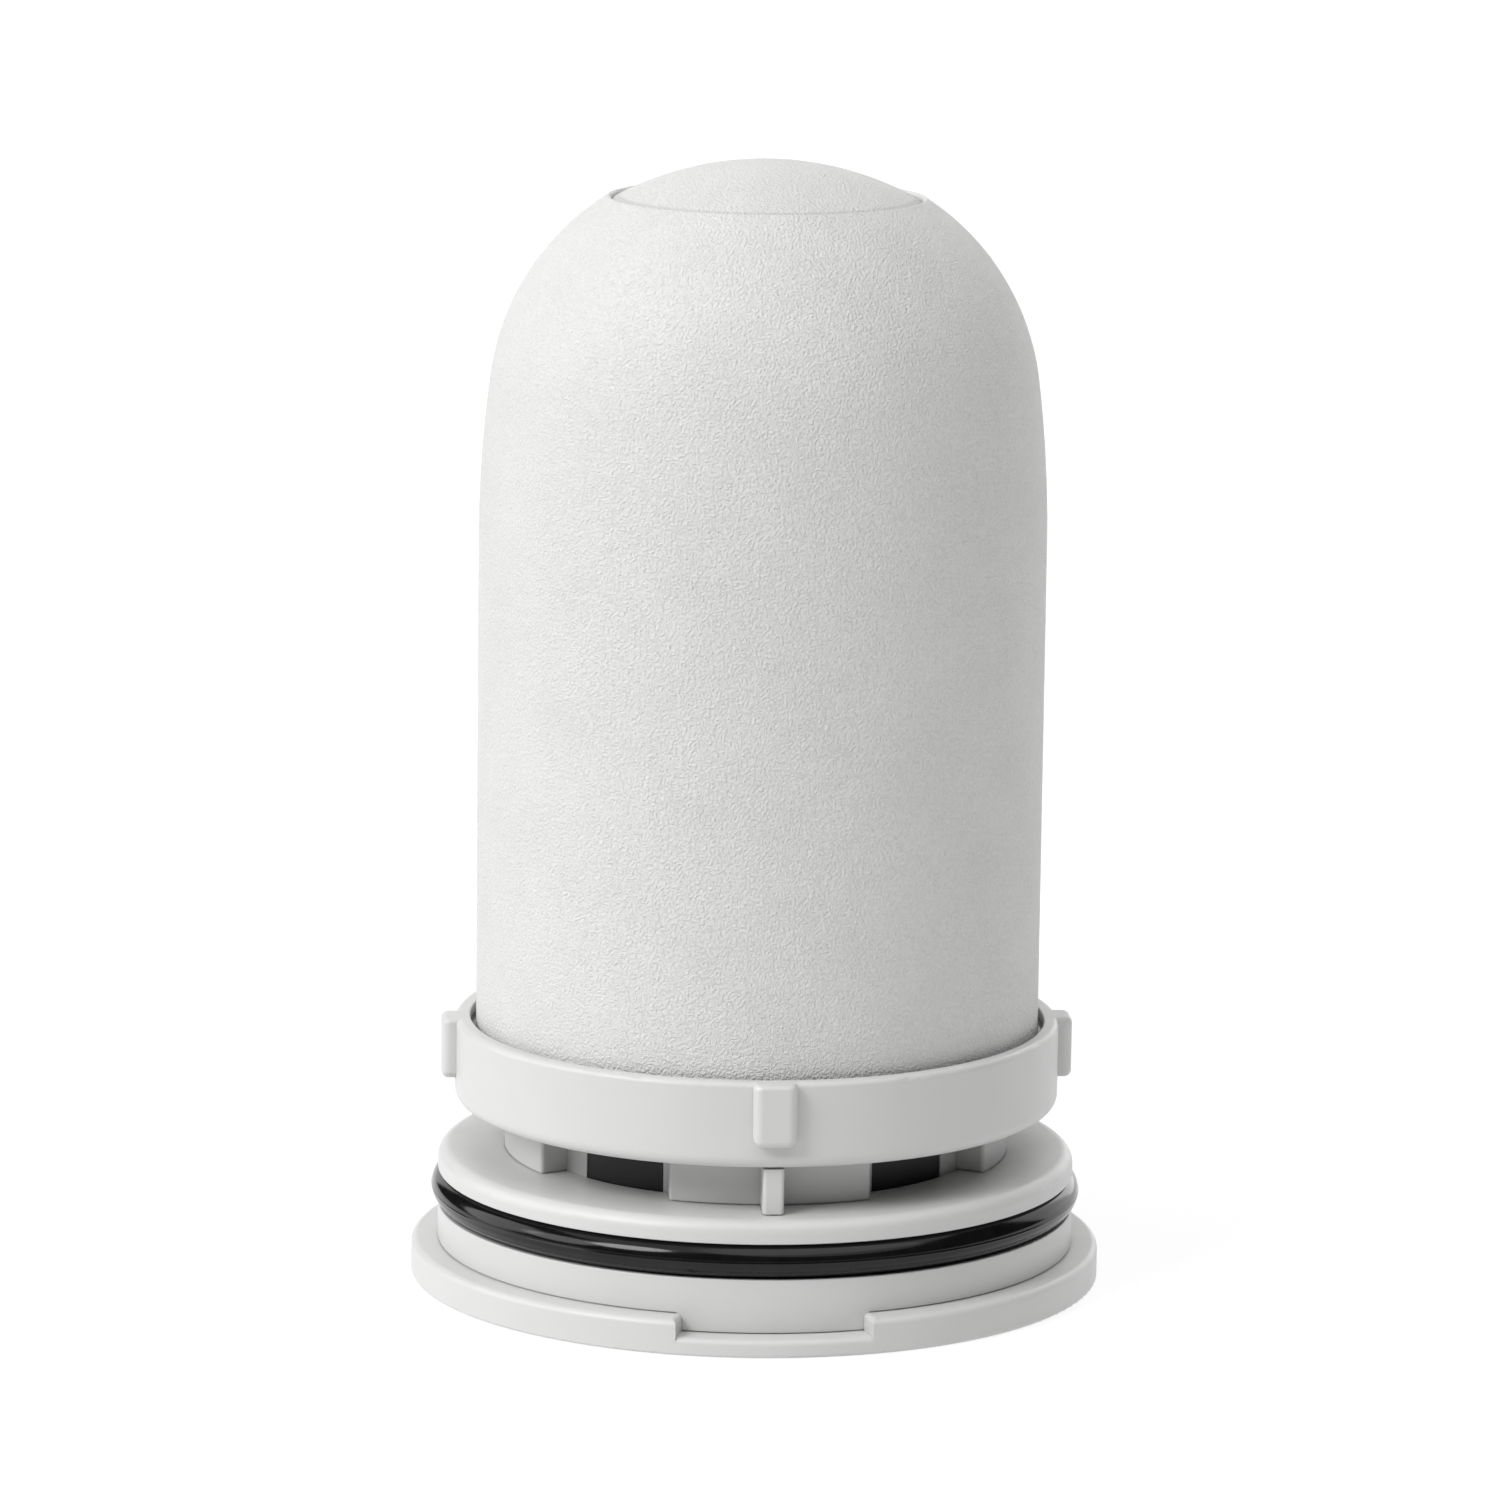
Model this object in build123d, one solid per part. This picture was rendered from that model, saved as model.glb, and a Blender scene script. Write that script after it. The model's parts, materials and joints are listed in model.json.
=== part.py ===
"""Pump water filter cartridge: a porous dome on a twist-lock collar, over a keyed O-ring plug.

Units are millimetres. The origin is the centre of the base flange's underside, +Z runs up the
axis, and the front (key notch, alignment fin and one grip rib) faces -Y. Angles called headings
are counted from the front, anticlockwise seen from above.
"""
from build123d import *
from math import atan2, cos, degrees, hypot, radians, sin, sqrt, tan
import os

os.makedirs("parts", exist_ok=True)

# ---------------------------------------------------------------- driving dimensions

# Plug: the stepped base that pushes into the pump's housing
FLANGE_R = 30.0
FLANGE_H = 3.0
FLANGE_TOP_ROUNDING = 0.6
LAND_R = 27.7
GROOVE_R = 25.25
GROOVE_LOW_Z = 6.15
GROOVE_HIGH_Z = 9.2
DECK_Z = 11.15
DECK_THICKNESS = 2.55
LAND_TOP_ROUNDING = 1.1
LAND_EDGE_ROUNDING = 0.1
EDGE_ROUNDING = 0.25
FOOT_RELIEF = 0.12
NOTCH_HALF_ANGLE = 16.1
NOTCH_FLOOR_Z = 1.5
NOTCH_CORNER = 0.5
NOTCH_EDGE_ROUNDING = 0.5
PLUG_RING_SECTION_R = 1.49

# Underside of the plug: hub, ribs and pockets
PLUG_SKIRT_IN_R = 22.9
MID_RING_IN_R = 15.6
MID_RING_OUT_R = 17.2
HUB_R = 9.5
RIB_WIDTH = 1.2
INNER_RIBS = 8
OUTER_RIBS = 16

# Outlet through the hub
SOCKET_R = 6.0
SOCKET_DEPTH = 4.2
SOCKET_LEAD_IN = 0.4
WASHER_SEAT_R = 5.5
WASHER_H = 0.8
PASSAGE_R = 3.0
WEB_H = 0.9
SPIGOT_BORE_R = 5.5
SCREEN_H = 0.25
SCREEN_HOLE_R = 0.38
SCREEN_PITCH = 1.1
RETAINER_H = 0.5
RETAINER_IN_R = 3.6

# Neck cage: windowed neck with a bayonet head
NECK_IN_R = 17.3
NECK_R = 19.35
NECK_FOOT_H = 1.5
PAD_R = 21.9
PAD_HALF_WIDTH = 8.5
PAD_ROUNDING = 0.35
SIDE_PAD_HALF_ANGLE = 29.8
WINDOW_START = 27.3
WINDOW_END = 51.7
FIN_R = 25.45
FIN_WIDTH = 1.8
FIN_ROUNDING = 0.35
FIN_H = 4.0
HEAD_LOW_Z = 16.9
HEAD_TOP_Z = 19.2
HEAD_R = 23.5
HEAD_BORE_R = 15.75
FACE_GROOVE_IN_R = 21.2
FACE_GROOVE_OUT_R = 22.9
FACE_GROOVE_DEPTH = 1.3
FACE_RING_SECTION_R = 0.69

# Bayonet between the head and the collar
LUG_COUNT = 4
LUG_HEADING = 45.0
LUG_HALF_ANGLE = 17.0
HEAD_LUG_R = 24.8
HEAD_LUG_LOW_Z = 17.0
HEAD_LUG_TOP_Z = 18.8
COLLAR_LUG_R = 23.65
COLLAR_LUG_LOW_Z = 15.5
COLLAR_LUG_TOP_Z = 16.9
UNLOCK_ANGLE = 45.0
STOP_PLAY = 0.3

# Collar
COLLAR_R = 26.25
COLLAR_IN_R = 24.95
COLLAR_LOW_Z = 15.3
COLLAR_TOP_Z = 22.75
COLLAR_LOW_ROUNDING = 1.1
COLLAR_TOP_ROUNDING = 0.5
COLLAR_LIP_ROUNDING = 0.15
LEDGE_IN_R = 20.0
LEDGE_LOW_Z = 19.3
LEDGE_TOP_Z = 20.6
GRIP_COUNT = 4
GRIP_R = 27.45
GRIP_WIDTH = 3.75
GRIP_LOW_Z = 17.4
GRIP_ROUNDING = 0.8
GRIP_LOW_ROUNDING = 0.6
GRIP_TOP_ROUNDING = 0.45

# Dome shell: straight wall, a long easing arc, then the shoulder arc
DOME_R = 24.45
DOME_WALL = 4.5
DOME_STRAIGHT_Z = 64.43
EASING_R = 109.8
EASING_ANGLE = 7.51
SHOULDER_R = 21.44
CAP_SEAT_R = 13.3
CAP_SEAT_Z = 92.0
CAP_OPENING_R = 10.5
RIM_ROUNDING = 0.3
BOND_H = 0.2
BOND_INSET = 0.3

# Dome cap
CAP_R = 13.2
CAP_APEX_Z = 97.3
CAP_SPHERE_R = 27.2
CAP_EDGE_ROUNDING = 0.3
CAP_PLUG_R = 10.2
CAP_PLUG_LOW_Z = 90.0
CAP_HOLLOW_R = 7.5
CAP_HOLLOW_TOP_Z = 94.2

# Foot gasket in the gap between dome and collar
GASKET_H = 1.3
GASKET_CLEARANCE = 0.02

# Carbon canister inside the dome
CUP_R = 15.5
CUP_SKIRT_IN_R = 12.9
CUP_FLOOR_Z = 20.0
CUP_SEAT_Z = 22.0
CUP_RIM_R = 15.4
CUP_RIM_IN_R = 14.85
CUP_RIM_TOP_Z = 25.0
CUP_GROOVE_R = 14.3
CUP_GROOVE_LOW_Z = 17.1
CUP_GROOVE_HIGH_Z = 19.0
CUP_RING_SECTION_R = 0.71
PANEL_R = 19.25
PANEL_CLEAR_ANGLE = 0.15
SPIGOT_R = 5.4
SPIGOT_GROOVE_R = 4.4
SPIGOT_GROOVE_H = 1.3
SPIGOT_RING_ZS = (7.9, 9.9)
SPIGOT_RING_SECTION_R = 0.53
END_SEAL_H = 0.4
BLOCK_IN_R = 5.6
BLOCK_R = 13.6
BLOCK_TOP_Z = 82.0
WRAP_R = 14.25
NET_R = 14.75
NET_BARS = 16
NET_BAR_WIDTH = 0.8
NET_RINGS = 13
CORE_IN_R = 4.0
CORE_R = 5.4
CORE_HOLE_R = 1.2
CORE_HOLE_ROWS = 12
CORE_HOLES_ROUND = 6
TOP_CAP_R = 15.4
TOP_CAP_H = 2.0
TOP_CAP_SKIRT_H = 4.0
TOP_CAP_ROUNDING = 1.0
BUMPER_R = 6.0
BUMPER_FOOT_H = 1.5
BUMPER_LIP_H = 1.4
BUMPER_LIP_OUT_R = 9.7
BUMPER_LIP_IN_R = 6.5
BUMPER_ROUNDING = 0.8
BUMPER_LIP_ROUNDING = 0.4
BUMPER_CLEARANCE = 0.1

# General running gaps
PLAY = 0.05
WASHER_PLAY = 0.05
RING_PLAY = 0.01
CUP_RING_PLAY = 0.02

# Levels up the outlet, from the socket's floor
WASHER_TOP_Z = SOCKET_DEPTH + WASHER_H
WEB_TOP_Z = WASHER_TOP_Z + WEB_H
SPIGOT_LOW_Z = WEB_TOP_Z + SCREEN_H + RETAINER_H


# ---------------------------------------------------------------- shape helpers

def at(r, z):
    """Point of a profile: radius r and height z in the XZ plane."""
    return (r, 0, z)


def on_circle(centre, radius, angle):
    """Profile point on a circle, at an angle in degrees above the horizontal."""
    return (centre[0] + radius * cos(radians(angle)), centre[1] + radius * sin(radians(angle)))


def arc_between(centre, radius, start_angle, end_angle):
    """Profile arc about a centre, between two angles in degrees."""
    middle_angle = (start_angle + end_angle) / 2
    angles = (start_angle, middle_angle, end_angle)
    return ThreePointArc(*[at(*on_circle(centre, radius, angle)) for angle in angles])


def outline(corners):
    """Closed profile face through (radius, height, rounding) corners; the rounding may be left out."""
    entries = []
    for index, corner in enumerate(corners):
        r, z = corner[0], corner[1]
        rounding = corner[2] if len(corner) > 2 else 0
        if not rounding:
            entries.append(((r, z),))
            continue
        legs = []
        for other in (corners[index - 1], corners[(index + 1) % len(corners)]):
            length = hypot(other[0] - r, other[1] - z)
            legs.append(((other[0] - r) / length, (other[1] - z) / length))
        half = abs(atan2(legs[0][0] * legs[1][1] - legs[0][1] * legs[1][0],
                         legs[0][0] * legs[1][0] + legs[0][1] * legs[1][1])) / 2
        setback = rounding / tan(half)
        bisector = (legs[0][0] + legs[1][0], legs[0][1] + legs[1][1])
        reach = (rounding / sin(half) - rounding) / hypot(*bisector)
        entries.append(((r + legs[0][0] * setback, z + legs[0][1] * setback),
                        (r + bisector[0] * reach, z + bisector[1] * reach),
                        (r + legs[1][0] * setback, z + legs[1][1] * setback)))
    edges = []
    for index, entry in enumerate(entries):
        if len(entry) == 3:
            edges.append(ThreePointArc(*[at(*point) for point in entry]))
        following = entries[(index + 1) % len(entries)]
        edges.append(Line(at(*entry[-1]), at(*following[0])))
    return make_face(edges)


def turned(corners):
    """Solid of revolution about Z from profile corners."""
    return revolve(outline(corners), Axis.Z)


def tube(r_in, r_out, z_low, z_high):
    """Plain ring."""
    return turned([(r_in, z_low), (r_out, z_low), (r_out, z_high), (r_in, z_high)])


def disc(radius, z_low, z_high):
    """Plain disc."""
    on_floor = (Align.CENTER, Align.CENTER, Align.MIN)
    return Pos(0, 0, z_low) * Cylinder(radius, z_high - z_low, align=on_floor)


def turned_between(start, end, corners):
    """Part of a solid of revolution between two headings."""
    return Rot(0, 0, start - 90) * revolve(outline(corners), Axis.Z, revolution_arc=end - start)


def sector(r_in, r_out, start, end, z_low, z_high):
    """Part of a plain ring between two headings."""
    return turned_between(start, end, [(r_in, z_low), (r_out, z_low), (r_out, z_high), (r_in, z_high)])


def wedge(start, end):
    """Plan triangle that widens from the axis, between two headings."""
    reach = 2 * FLANGE_R
    return Polygon((0, 0), *[(reach * sin(radians(heading)), -reach * cos(radians(heading)))
                             for heading in (start, end)], align=None)


def facing(heading, shape):
    """Turns a shape built at the front to another heading."""
    return Rot(0, 0, heading) * shape


def front_block(width, r_in, r_out, z_low, z_high):
    """Box centred on the front, from one distance to another out from the axis."""
    size = (width, r_out - r_in, z_high - z_low)
    return Pos(0, -(r_in + r_out) / 2, (z_low + z_high) / 2) * Box(*size)


def o_ring(centre_r, centre_z, section_r):
    """Round-section ring."""
    return Pos(0, 0, centre_z) * Torus(centre_r, section_r)


# ---------------------------------------------------------------- plug

def base_plug():
    """Flange, seal lands, O-ring groove and deck, with a ribbed underside and the outlet hub."""
    ceiling_z = DECK_Z - DECK_THICKNESS
    body = turned([
        (0, 0), (FLANGE_R, 0, EDGE_ROUNDING), (FLANGE_R, FLANGE_H, FLANGE_TOP_ROUNDING), (LAND_R, FLANGE_H),
        (LAND_R, GROOVE_LOW_Z, LAND_EDGE_ROUNDING), (GROOVE_R, GROOVE_LOW_Z), (GROOVE_R, GROOVE_HIGH_Z),
        (LAND_R, GROOVE_HIGH_Z, LAND_EDGE_ROUNDING), (LAND_R, DECK_Z, LAND_TOP_ROUNDING), (0, DECK_Z)])
    body -= tube(HUB_R, MID_RING_IN_R, 0, ceiling_z)
    body -= tube(MID_RING_OUT_R, PLUG_SKIRT_IN_R, 0, ceiling_z)
    rib_overlap = 0.3
    rib_rows = ((INNER_RIBS, HUB_R, MID_RING_IN_R), (OUTER_RIBS, MID_RING_OUT_R, PLUG_SKIRT_IN_R))
    for count, r_in, r_out in rib_rows:
        rib = front_block(RIB_WIDTH, r_in - rib_overlap, r_out + rib_overlap, 0, ceiling_z + rib_overlap)
        for index in range(count):
            body += facing(index * 360 / count, rib)
    body -= tube(NECK_IN_R - PLAY, NECK_R + PLAY, DECK_Z - NECK_FOOT_H, DECK_Z)
    body -= disc(PASSAGE_R, 0, DECK_Z)
    body -= turned([(0, 0), (SOCKET_R + SOCKET_LEAD_IN, 0), (SOCKET_R, SOCKET_LEAD_IN),
                    (SOCKET_R, SOCKET_DEPTH), (WASHER_SEAT_R, SOCKET_DEPTH),
                    (WASHER_SEAT_R, WASHER_TOP_Z), (0, WASHER_TOP_Z)])
    body -= disc(SPIGOT_BORE_R, WEB_TOP_Z, DECK_Z)
    body = body - key_notches()
    floor_rims = [edge for edge in body.edges().filter_by(GeomType.CIRCLE)
                  if abs(edge.radius - FLANGE_R) < 0.01 and abs(edge.arc_center.Z - NOTCH_FLOOR_Z) < 0.01]
    return fillet(floor_rims, NOTCH_EDGE_ROUNDING) - foot_reliefs()


def key_notches():
    """The two rounded cuts in the flange's rim that key the plug in its housing."""
    beyond = FLANGE_R + 1
    notch = sector(LAND_R, beyond, -NOTCH_HALF_ANGLE, NOTCH_HALF_ANGLE, NOTCH_FLOOR_Z, FLANGE_H + 1)
    corner_angle = degrees(NOTCH_CORNER / FLANGE_R)
    for side in (-1, 1):
        start = side * NOTCH_HALF_ANGLE
        end = start + side * corner_angle
        first, last = sorted((start, end))
        corner = sector(LAND_R, beyond, first, last, FLANGE_H - NOTCH_CORNER, FLANGE_H + 1)
        round_edge = Pos(0, -FLANGE_R, FLANGE_H - NOTCH_CORNER) * Rot(90, 0, 0) * Cylinder(
            NOTCH_CORNER, 2 * (beyond - LAND_R))
        notch += corner - facing(end, round_edge)
    return notch + facing(180, notch)


def foot_reliefs():
    """Fine undercuts in the lower land, along the flange's top and the notches' floors."""
    clear_of_land = LAND_R + PLAY
    bottom = LAND_R - FOOT_RELIEF
    past_corner = NOTCH_HALF_ANGLE + degrees(NOTCH_CORNER / FLANGE_R)
    relief = sector(bottom, clear_of_land, -NOTCH_HALF_ANGLE, NOTCH_HALF_ANGLE,
                    NOTCH_FLOOR_Z, NOTCH_FLOOR_Z + FOOT_RELIEF)
    relief += sector(bottom, clear_of_land, past_corner, 180 - past_corner,
                     FLANGE_H, FLANGE_H + FOOT_RELIEF)
    return relief + facing(180, relief)


# ---------------------------------------------------------------- neck cage

def neck_ring_plan():
    """Plan of the neck's wall, cut by its four windows."""
    plan = Circle(NECK_R) - Circle(NECK_IN_R)
    for heading in (0, 180):
        plan -= wedge(heading + WINDOW_START, heading + WINDOW_END)
        plan -= wedge(heading - WINDOW_END, heading - WINDOW_START)
    return plan


def neck_plan():
    """Plan of the neck above the deck: its wall, with a round-cornered pad on each post."""
    root_overlap = 0.3
    pad_ring = Circle(PAD_R) - Circle(NECK_R - root_overlap)
    plan = neck_ring_plan() + (pad_ring & Rectangle(2 * PAD_HALF_WIDTH, 2 * PAD_R))
    for heading in (90, 270):
        plan += pad_ring & wedge(heading - SIDE_PAD_HALF_ANGLE, heading + SIDE_PAD_HALF_ANGLE)
    corners = [vertex for vertex in plan.vertices() if abs(hypot(vertex.X, vertex.Y) - PAD_R) < 0.01]
    return fillet(corners, PAD_ROUNDING)


def neck_cage():
    """Windowed neck with four pads, two fins and the bayonet head, undercut along the deck."""
    plan = neck_plan()
    relief_z = DECK_Z + FOOT_RELIEF
    fin_plan = Pos(0, -(NECK_R + FIN_R) / 2) * RectangleRounded(FIN_WIDTH, FIN_R - NECK_R, FIN_ROUNDING)
    cage = Pos(0, 0, DECK_Z - NECK_FOOT_H) * extrude(neck_ring_plan(), NECK_FOOT_H + FOOT_RELIEF)
    cage += Pos(0, 0, DECK_Z) * extrude(offset(plan, -FOOT_RELIEF), FOOT_RELIEF)
    cage += Pos(0, 0, relief_z) * extrude(plan, HEAD_LOW_Z - relief_z)
    for heading in (0, 180):
        cage += facing(heading, Pos(0, 0, DECK_Z) * extrude(offset(fin_plan, -FOOT_RELIEF), FOOT_RELIEF))
        cage += facing(heading, Pos(0, 0, relief_z) * extrude(fin_plan, FIN_H - FOOT_RELIEF))
    return cage + bayonet_head()


def bayonet_head():
    """Disc with the canister bore, a face-seal groove, four lugs and their stops."""
    lead_in = 0.4
    head = turned([
        (HEAD_BORE_R, HEAD_LOW_Z), (HEAD_R, HEAD_LOW_Z), (HEAD_R, HEAD_TOP_Z, EDGE_ROUNDING),
        (FACE_GROOVE_OUT_R, HEAD_TOP_Z), (FACE_GROOVE_OUT_R, HEAD_TOP_Z - FACE_GROOVE_DEPTH),
        (FACE_GROOVE_IN_R, HEAD_TOP_Z - FACE_GROOVE_DEPTH), (FACE_GROOVE_IN_R, HEAD_TOP_Z),
        (HEAD_BORE_R + lead_in, HEAD_TOP_Z), (HEAD_BORE_R, HEAD_TOP_Z - lead_in)])
    root_r = HEAD_R - 0.4
    spacing = 360 / LUG_COUNT
    stop_start = UNLOCK_ANGLE + LUG_HALF_ANGLE + STOP_PLAY - spacing
    for index in range(LUG_COUNT):
        heading = LUG_HEADING + index * spacing
        head += sector(root_r, HEAD_LUG_R, heading - LUG_HALF_ANGLE - STOP_PLAY, heading + LUG_HALF_ANGLE,
                       HEAD_LUG_LOW_Z, HEAD_LUG_TOP_Z)
        head += sector(root_r, HEAD_LUG_R, heading + stop_start, heading - LUG_HALF_ANGLE - STOP_PLAY,
                       COLLAR_LUG_LOW_Z, HEAD_LUG_TOP_Z)
    return head


# ---------------------------------------------------------------- collar and dome

def locking_collar():
    """Ring that holds the dome and twists onto the bayonet head, with four grip ribs outside."""
    ring = turned([
        (COLLAR_IN_R, COLLAR_LOW_Z, EDGE_ROUNDING), (COLLAR_R, COLLAR_LOW_Z, COLLAR_LOW_ROUNDING),
        (COLLAR_R, COLLAR_TOP_Z, COLLAR_TOP_ROUNDING), (COLLAR_IN_R, COLLAR_TOP_Z, COLLAR_LIP_ROUNDING),
        (COLLAR_IN_R, LEDGE_TOP_Z), (LEDGE_IN_R, LEDGE_TOP_Z), (LEDGE_IN_R, LEDGE_LOW_Z),
        (COLLAR_IN_R, LEDGE_LOW_Z)])
    overlap = 0.3
    for index in range(LUG_COUNT):
        lug = sector(COLLAR_LUG_R, COLLAR_IN_R + overlap, -LUG_HALF_ANGLE, LUG_HALF_ANGLE,
                     COLLAR_LUG_LOW_Z, COLLAR_LUG_TOP_Z)
        ring += facing(LUG_HEADING + index * 360 / LUG_COUNT, lug)
    for index in range(GRIP_COUNT):
        ring += facing(index * 360 / GRIP_COUNT, grip_rib())
    return ring


def grip_rib():
    """One rib, rounded on every outer edge and flush with the collar's top."""
    root_r = (COLLAR_IN_R + COLLAR_R) / 2
    rib = front_block(GRIP_WIDTH, root_r, GRIP_R, GRIP_LOW_Z, COLLAR_TOP_Z)
    upright = rib.edges().filter_by(Axis.Z).group_by(Axis.Y)[0]
    low_sides = rib.faces().sort_by(Axis.Z)[0].edges().filter_by(Axis.Y)
    rib = fillet(upright + low_sides, GRIP_ROUNDING)
    low_rim = [edge for edge in rib.faces().sort_by(Axis.Y)[0].edges()
               if edge.center().Z < GRIP_LOW_Z + GRIP_ROUNDING]
    rib = fillet(low_rim, GRIP_LOW_ROUNDING)
    top_edges = rib.faces().sort_by(Axis.Z)[-1].edges()
    buried = top_edges.filter_by(Axis.X).sort_by(Axis.Y)[-1]
    return fillet([edge for edge in top_edges if edge != buried], GRIP_TOP_ROUNDING)


def shoulder_centre():
    """Centre of the shoulder arc, which the dome's inner surface shares."""
    easing_centre = (DOME_R - EASING_R, DOME_STRAIGHT_Z)
    joint = on_circle(easing_centre, EASING_R, EASING_ANGLE)
    return on_circle(joint, -SHOULDER_R, EASING_ANGLE)


def dome_side(inset, stop_r):
    """Profile edges of the dome's side above its straight wall, inset from the skin, up to radius stop_r."""
    easing_centre = (DOME_R - EASING_R, DOME_STRAIGHT_Z)
    centre = shoulder_centre()
    radius = SHOULDER_R - inset
    stop_angle = degrees(atan2(sqrt(radius ** 2 - (stop_r - centre[0]) ** 2), stop_r - centre[0]))
    easing = arc_between(easing_centre, EASING_R - inset, 0, EASING_ANGLE)
    shoulder = arc_between(centre, radius, EASING_ANGLE, stop_angle)
    return easing, shoulder, on_circle(centre, radius, stop_angle)


def dome_shell():
    """Porous shell with an open top seat for the cap."""
    foot_z = LEDGE_TOP_Z + BOND_H
    outer_easing, outer_shoulder, rim = dome_side(0, CAP_SEAT_R)
    inner_easing, inner_shoulder, opening = dome_side(DOME_WALL, CAP_OPENING_R)
    profile = make_face([
        Line(at(DOME_R - DOME_WALL, foot_z), at(DOME_R, foot_z)),
        Line(at(DOME_R, foot_z), at(DOME_R, DOME_STRAIGHT_Z)),
        outer_easing, outer_shoulder,
        Line(at(*rim), at(CAP_SEAT_R, CAP_SEAT_Z)),
        Line(at(CAP_SEAT_R, CAP_SEAT_Z), at(CAP_OPENING_R, CAP_SEAT_Z)),
        Line(at(CAP_OPENING_R, CAP_SEAT_Z), at(*opening)),
        inner_shoulder, inner_easing,
        Line(at(DOME_R - DOME_WALL, DOME_STRAIGHT_Z), at(DOME_R - DOME_WALL, foot_z))])
    shell = revolve(profile, Axis.Z)
    rim_edge = shell.edges().filter_by(GeomType.CIRCLE).sort_by(Axis.Z)[-1]
    return fillet(rim_edge, RIM_ROUNDING)


def dome_cap():
    """Shallow spherical cap with a hollow plug that drops into the shell's opening."""
    sphere_z = CAP_APEX_Z - CAP_SPHERE_R
    rim_z = sphere_z + sqrt(CAP_SPHERE_R ** 2 - CAP_R ** 2)
    seat_z = CAP_SEAT_Z + BOND_H
    half_r = CAP_R / 2
    half_z = sphere_z + sqrt(CAP_SPHERE_R ** 2 - half_r ** 2)
    profile = make_face([
        ThreePointArc(at(0, CAP_APEX_Z), at(half_r, half_z), at(CAP_R, rim_z)),
        Line(at(CAP_R, rim_z), at(CAP_R, seat_z)),
        Line(at(CAP_R, seat_z), at(CAP_PLUG_R, seat_z)),
        Line(at(CAP_PLUG_R, seat_z), at(CAP_PLUG_R, CAP_PLUG_LOW_Z)),
        Line(at(CAP_PLUG_R, CAP_PLUG_LOW_Z), at(CAP_HOLLOW_R, CAP_PLUG_LOW_Z)),
        Line(at(CAP_HOLLOW_R, CAP_PLUG_LOW_Z), at(CAP_HOLLOW_R, CAP_HOLLOW_TOP_Z)),
        Line(at(CAP_HOLLOW_R, CAP_HOLLOW_TOP_Z), at(0, CAP_HOLLOW_TOP_Z)),
        Line(at(0, CAP_HOLLOW_TOP_Z), at(0, CAP_APEX_Z))])
    cap = revolve(profile, Axis.Z)
    rim_edge = [edge for edge in cap.edges().filter_by(GeomType.CIRCLE)
                if abs(edge.radius - CAP_R) < 0.01 and abs(edge.center().Z - rim_z) < 0.01]
    return fillet(rim_edge, CAP_EDGE_ROUNDING)


# ---------------------------------------------------------------- canister

def canister_cup():
    """Lower end cup: skirt sealed in the head's bore, panels in the neck's windows and outlet spigot."""
    cup = turned([
        (PASSAGE_R, SPIGOT_LOW_Z), (SPIGOT_R, SPIGOT_LOW_Z, EDGE_ROUNDING), (SPIGOT_R, CUP_FLOOR_Z),
        (CUP_SKIRT_IN_R, CUP_FLOOR_Z), (CUP_SKIRT_IN_R, DECK_Z), (CUP_R, DECK_Z),
        (CUP_R, CUP_GROOVE_LOW_Z), (CUP_GROOVE_R, CUP_GROOVE_LOW_Z), (CUP_GROOVE_R, CUP_GROOVE_HIGH_Z),
        (CUP_R, CUP_GROOVE_HIGH_Z), (CUP_R, CUP_SEAT_Z), (CUP_RIM_R, CUP_SEAT_Z),
        (CUP_RIM_R, CUP_RIM_TOP_Z), (CUP_RIM_IN_R, CUP_RIM_TOP_Z), (CUP_RIM_IN_R, CUP_SEAT_Z),
        (PASSAGE_R, CUP_SEAT_Z)])
    half_groove = SPIGOT_GROOVE_H / 2
    for ring_z in SPIGOT_RING_ZS:
        cup -= tube(SPIGOT_GROOVE_R, SPIGOT_R + 1, ring_z - half_groove, ring_z + half_groove)
    root_r = CUP_SKIRT_IN_R + 1
    foot_z = DECK_Z - NECK_FOOT_H + PLAY
    top_z = HEAD_LOW_Z - PLAY
    panel = turned_between(WINDOW_START + PANEL_CLEAR_ANGLE, WINDOW_END - PANEL_CLEAR_ANGLE, [
        (root_r, DECK_Z + PLAY), (NECK_IN_R, DECK_Z + PLAY), (NECK_IN_R, foot_z), (PANEL_R, foot_z),
        (PANEL_R, top_z), (root_r, top_z)])
    mirrored = mirror(panel, Plane.YZ)
    for heading in (0, 180):
        cup += facing(heading, panel)
        cup += facing(heading, mirrored)
    return cup


def core_tube():
    """Perforated tube that collects the water along the block's middle."""
    low_z = CUP_SEAT_Z + END_SEAL_H
    core = tube(CORE_IN_R, CORE_R, low_z, BLOCK_TOP_Z)
    row_step = (BLOCK_TOP_Z - low_z) / CORE_HOLE_ROWS
    for row in range(CORE_HOLE_ROWS):
        for index in range(CORE_HOLES_ROUND // 2):
            heading = index * 360 / CORE_HOLES_ROUND + (row % 2) * 180 / CORE_HOLES_ROUND
            drill = Rot(90, 0, 0) * Cylinder(CORE_HOLE_R, 4 * CORE_R)
            core -= facing(heading, Pos(0, 0, low_z + (row + 0.5) * row_step) * drill)
    return core


def canister_net():
    """Moulded net sleeve over the wrap: rings joined by upright bars."""
    low_z = CUP_SEAT_Z + END_SEAL_H
    ring_h = 0.8
    step = (BLOCK_TOP_Z - ring_h - low_z) / (NET_RINGS - 1)
    inner_r = WRAP_R + PLAY
    bar_inset = 0.05
    bars = front_block(NET_BAR_WIDTH, inner_r + bar_inset, NET_R - bar_inset, low_z + bar_inset,
                       BLOCK_TOP_Z - bar_inset)
    net = tube(inner_r, NET_R, low_z, low_z + ring_h)
    for index in range(1, NET_RINGS):
        net += tube(inner_r, NET_R, low_z + index * step, low_z + index * step + ring_h)
    return net + [facing(index * 360 / NET_BARS, bars) for index in range(NET_BARS)]


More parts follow.
